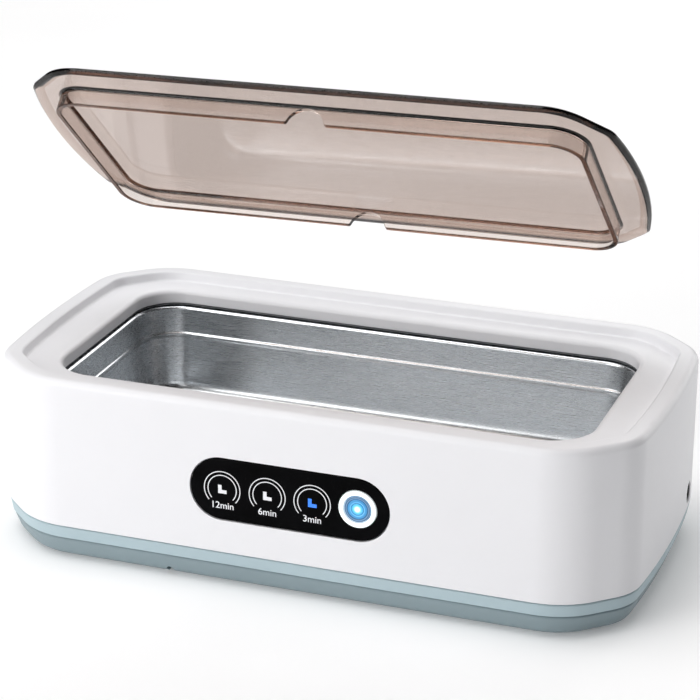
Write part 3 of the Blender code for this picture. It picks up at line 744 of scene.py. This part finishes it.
def make_tank():
    """Drawn steel tank: flange, drafted wall with a fill line bead, rounded floor."""
    mouth = grown(MOUTH, -0.5)
    low = TANK_LOW.z
    outer = [(-6.4, low, 0), (-1.6, low, 4.6), (SHEET, FLANGE_TOP - SHEET, 0.4),
             (FLANGE_X - mouth[0], FLANGE_TOP - SHEET, 0)]
    inner = [(FLANGE_X - mouth[0], FLANGE_TOP, 0), (0.0, FLANGE_TOP, 1.0), (-0.3, 43.4, 0.5),
             (-0.8, 42.9, 0.5), (-0.8, 42.1, 0.5), (-0.4, 41.6, 0.5), (-2.6, TANK_FLOOR, 5.0),
             (-8.4, TANK_FLOOR, 0)]
    rings = basin_rings(mouth, outer) + basin_rings(mouth, inner)
    show(loft("steel_tank", rings), "housing", "tank_steel", "tank")


def make_gasket():
    """Rubber seal squeezed between the flange and the housing's skirt."""
    low, high = FLANGE_TOP + GAP, SKIRT_BOTTOM - GAP
    path = [(3.0, low, 0), (3.6, low, 0.3), (3.6, high, 0.3), (0.6, high, 0.4), (0.6, low, 0.4),
            (1.2, low, 0)]
    show(loft("rubber_gasket", basin_rings(MOUTH, path), closed=True), "housing", "gasket",
         "tank_gasket")


# ---------------------------------------------------------------- lid

def notch_outline():
    """(x, z) outline of a half-round finger notch whose mouth is blended into the edge."""
    rise = NOTCH_BLEND + NOTCH_DROP
    reach = math.sqrt((NOTCH_RADIUS + NOTCH_BLEND) ** 2 - rise ** 2)
    meet = math.atan2(rise, reach)
    points = [Vector((reach, -3.0))]
    for k in range(9):
        angle = -math.pi / 2 - (math.pi / 2 - meet) * k / 8
        points.append(Vector((reach + NOTCH_BLEND * math.cos(angle),
                              NOTCH_BLEND + NOTCH_BLEND * math.sin(angle))))
    for k in range(1, 32):
        angle = meet + (math.pi - 2 * meet) * k / 32
        points.append(Vector((NOTCH_RADIUS * math.cos(angle),
                              NOTCH_RADIUS * math.sin(angle) - NOTCH_DROP)))
    right = points[:10]
    return points + [Vector((-p.x, p.y)) for p in reversed(right)]


def make_lid():
    """Bevelled smoke-clear plate with a lip, swung up on its pivot as the CAD lid is."""
    plate = [(LID_INSET + 3.6, LID_TOP, 0), (LID_INSET, LID_TOP - 1.9, 0.4),
             (LID_INSET, LID_UNDER + 0.8, 0.25), (LID_INSET + 0.9, LID_UNDER, 0.3),
             (LID_INSET + 2.6, LID_UNDER, 0)]
    lip = [(1.8, LID_UNDER, 0), (0.0, LID_UNDER, 0.9), (0.0, LIP_END, 0.3),
           (-LIP_WALL, LIP_END, 0.3), (-LIP_WALL, LID_UNDER, 0.9), (-LIP_WALL - 1.8, LID_UNDER, 0)]
    lid = loft("smoke_lid", body_rings(plate, LID_PLAN) + basin_rings(LIP, lip))
    cut(lid, slab_y("notch", [(notch_outline(), -45.0), (notch_outline(), 45.0)], 0, LIP_END))
    lid.data.transform(lid_turn())
    show(lid, "lid", "smoke_clear", "lid")


# ---------------------------------------------------------------- control panel

PRINT_FRONT = FRONT
PANEL_FACE = FRONT + 0.05
BUTTON_X = (RING_LOW.x + RING_HIGH.x) / 2
BUTTON_Z = (RING_LOW.z + RING_HIGH.z) / 2
RING_RADIUS = (RING_HIGH.x - RING_LOW.x) / 2


def make_panel():
    """Glossy black plate with softened edges and a hole for the button's ring."""
    back = PANEL_HIGH.y

    def level(shrink, y):
        return stadium(PANEL_LENGTH - 2 * shrink, PANEL_HEIGHT - 2 * shrink), y

    levels = [level(0.30, PANEL_FACE), level(0.12, PANEL_FACE + 0.05), level(0.03, PANEL_FACE + 0.14),
              level(0.0, PANEL_FACE + 0.30), level(0.0, back)]
    panel = slab_y("black_panel", levels, 0, PANEL_Z)
    hole = RING_RADIUS + GAP
    cut(panel, turned("button_hole", [(hole, FRONT - 1, 0), (hole, back + 1, 0)],
                      (BUTTON_X, 0, BUTTON_Z), "Y", 96))
    show(panel, "housing", "panel_black", "control_panel")


def make_button():
    """White light ring, and the lit button with its turned rings."""
    centre = (BUTTON_X, 0, BUTTON_Z)
    bore = BUTTON_RADIUS + GAP
    back = RING_HIGH.y
    ring = [(bore + 0.2, back, 0), (bore, back, 0.1), (bore, FRONT, 0.25), (RING_RADIUS, FRONT, 0.3),
            (RING_RADIUS, back, 0.1), (RING_RADIUS - 0.2, back, 0)]
    show(turned("white_ring", ring, centre, "Y", 96, closed=True), "housing", "light_ring",
         "button_ring")
    flange = back + GAP
    face = [(0.3, FRONT + 0.05, 0), (1.7, FRONT + 0.12, 0.4), (1.95, FRONT + 0.38, 0.1),
            (2.15, FRONT + 0.12, 0.1), (3.0, FRONT + 0.10, 0.3), (3.25, FRONT + 0.34, 0.1),
            (3.45, FRONT + 0.10, 0.1), (BUTTON_RADIUS, FRONT + 0.05, 0.2), (BUTTON_RADIUS, flange, 0),
            (BUTTON_RADIUS + 1.1, flange, 0), (BUTTON_RADIUS + 1.1, flange + 0.6, 0),
            (1.4, flange + 0.6, 0), (1.4, flange + 1.2, 0.3), (0.3, flange + 1.2, 0)]
    button = turned("blue_button", face, centre, "Y", 96, origin=(BUTTON_X, FRONT, BUTTON_Z))
    show(button, "power_button", "button_blue", "power_button")


def arc_bar(name, inner, outer, from_deg, to_deg, centre_x, steps=64):
    """A thin raised line along an arc about a dial's centre."""
    rings = []
    for k in range(steps + 1):
        angle = math.radians(from_deg + (to_deg - from_deg) * k / steps)
        spoke = Vector((math.cos(angle), 0, math.sin(angle)))
        ring = []
        for radius, y in ((inner, PANEL_FACE + 0.05), (inner, PRINT_FRONT),
                          (outer, PRINT_FRONT), (outer, PANEL_FACE + 0.05)):
            ring.append(Vector((centre_x, y, PANEL_Z)) + spoke * radius)
        rings.append(ring)
    return loft(name, rings)


def label(name, text, centre_x, centre_z, cap_height):
    """Raised lettering that reads from the front, as a mesh."""
    curve = bpy.data.curves.new(name, "FONT")
    curve.body = text
    curve.size = cap_height / 0.72 * MM
    curve.extrude = 0.04 * MM
    curve.offset = 0.02 * MM
    curve.align_x = "CENTER"
    curve.align_y = "CENTER"
    text_object = bpy.data.objects.new(name + "_text", curve)
    text_object.rotation_euler.x = math.pi / 2
    text_object.location = Vector((centre_x, PRINT_FRONT + 0.04, centre_z)) * MM
    bpy.context.scene.collection.objects.link(text_object)
    bpy.context.view_layer.update()
    depsgraph = bpy.context.evaluated_depsgraph_get()
    mesh = bpy.data.meshes.new_from_object(text_object.evaluated_get(depsgraph))
    mesh.transform(text_object.matrix_world)
    bpy.data.objects.remove(text_object, do_unlink=True)
    obj = bpy.data.objects.new(name, mesh)
    bpy.context.scene.collection.objects.link(obj)
    return obj


def printed(obj, material):
    obj.data.materials.clear()
    obj.data.materials.append(material)
    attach(obj, "housing")


def make_dials():
    """Timer dials: two open arcs, L-shaped hands and a minutes label each."""
    hands = [Vector(p) for p in ((-1.3, -1.35), (1.45, -1.35), (1.45, -0.2), (-0.15, -0.2),
                                 (-0.15, 1.4), (-1.3, 1.4))]
    for minutes in (12, 6, 3):
        x = middle(f"timer_led_{minutes}_min").x
        tag = f"dial_{minutes}_min"
        for part, outer in (("outer_arc", 5.95), ("inner_arc", 4.75)):
            arc = arc_bar(f"{tag}_{part}", outer - 0.28, outer, -42, 222, x)
            printed(arc, PRINT_WHITE)
        levels = [(hands, PANEL_FACE + 0.05), (hands, PRINT_FRONT)]
        marker = slab_y(f"{tag}_hands", levels, x, PANEL_Z)
        if minutes == 3:
            printed(marker, PRINT_BLUE)
        else:
            printed(marker, PRINT_WHITE)
        words = label(f"{tag}_label", f"{minutes}min", x, PANEL_Z - 5.4, 2.2)
        printed(words, PRINT_WHITE)


# ---------------------------------------------------------------- stage, lights and camera

def make_floor():
    bm = bmesh.new()
    bmesh.ops.create_grid(bm, x_segments=8, y_segments=8, size=4000.0)
    floor = add_object("floor", bm)
    mat, tree, shader = start_material("pale_floor")
    stops = [(0.3, (0.90, 0.90, 0.905)), (0.7, (0.92, 0.92, 0.925))]
    tree.links.new(ramp(tree, noise(tree, 0.01), stops), shader.inputs["Base Color"])
    shader.inputs["Roughness"].default_value = 0.9
    shader.inputs["Specular IOR Level"].default_value = 0.1
    shader.inputs["Emission Color"].default_value = (1.0, 1.0, 1.0, 1.0)
    shader.inputs["Emission Strength"].default_value = 0.15
    floor.data.materials.append(mat)


def add_light(name, azimuth, elevation, distance, size, power, colour):
    """A square soft light that faces the object from that direction."""
    light = bpy.data.lights.new(name, "AREA")
    light.shape = "SQUARE"
    light.size = size
    light.energy = power
    light.color = colour
    obj = bpy.data.objects.new(name, light)
    around, up = math.radians(azimuth), math.radians(elevation)
    direction = Vector((math.sin(around) * math.cos(up), -math.cos(around) * math.cos(up),
                        math.sin(up)))
    obj.location = direction * distance + Vector((0, 0, 0.05))
    obj.rotation_euler = direction.to_track_quat("Z", "Y").to_euler()
    bpy.context.scene.collection.objects.link(obj)


def make_lighting():
    """Soft boxes: overhead, high left, low left, three behind, and a small pair near the front."""
    neutral = (1.0, 0.995, 0.99)
    add_light("overhead", 0, 88, 1.6, 1.0, 7.0, neutral)
    add_light("high_left", -60, 65, 1.6, 1.0, 10.3, neutral)
    add_light("low_left", -35, 20, 1.6, 1.0, 5.1, neutral)
    add_light("low_back_right", 150, 12, 1.6, 1.0, 7.5, neutral)
    add_light("back", 180, 35, 1.6, 1.0, 6.8, neutral)
    add_light("back_left", -140, 38, 1.6, 1.0, 2.3, neutral)
    add_light("near_left", -40, 15, 0.75, 0.5, 1.1, neutral)
    add_light("near_front", -15, 15, 0.75, 0.5, 0.9, neutral)
    world = bpy.data.worlds.new("studio")
    world.use_nodes = True
    background = world.node_tree.nodes["Background"]
    background.inputs["Color"].default_value = (0.96, 0.965, 1.0, 1.0)
    background.inputs["Strength"].default_value = 0.03
    bpy.context.scene.world = world
    bpy.context.scene.view_settings.view_transform = "Standard"


def make_camera():
    """Camera at the photo's angle, looking at the middle of the rim."""
    azimuth, elevation, roll = (math.radians(angle) for angle in
                                (CAMERA_AZIMUTH, CAMERA_ELEVATION, CAMERA_ROLL))
    back = Vector((math.sin(azimuth) * math.cos(elevation), -math.cos(azimuth) * math.cos(elevation),
                   math.sin(elevation)))
    level = Vector((math.cos(azimuth), math.sin(azimuth), 0))
    upright = back.cross(level)
    right = level * math.cos(roll) + upright * math.sin(roll)
    up = back.cross(right)
    data = bpy.data.cameras.new("camera")
    data.sensor_width = 36.0
    data.lens = CAMERA_LENS
    data.clip_start = 0.01
    camera = bpy.data.objects.new("camera", data)
    target = Vector((CAMERA_TARGET_X, 0.0, RIM_TOP)) * MM
    turn = Matrix((right, up, back)).transposed().to_4x4()
    camera.matrix_world = Matrix.Translation(target + back * CAMERA_DISTANCE) @ turn
    bpy.context.scene.collection.objects.link(camera)
    bpy.context.scene.camera = camera


paint_frame_nodes()
make_housing()
make_base_frame()
make_bottom_cover()
make_feet()
make_housing_screws()
make_jack()
make_tank()
make_gasket()
make_lid()
make_panel()
make_button()
make_dials()
make_floor()
make_lighting()
make_camera()
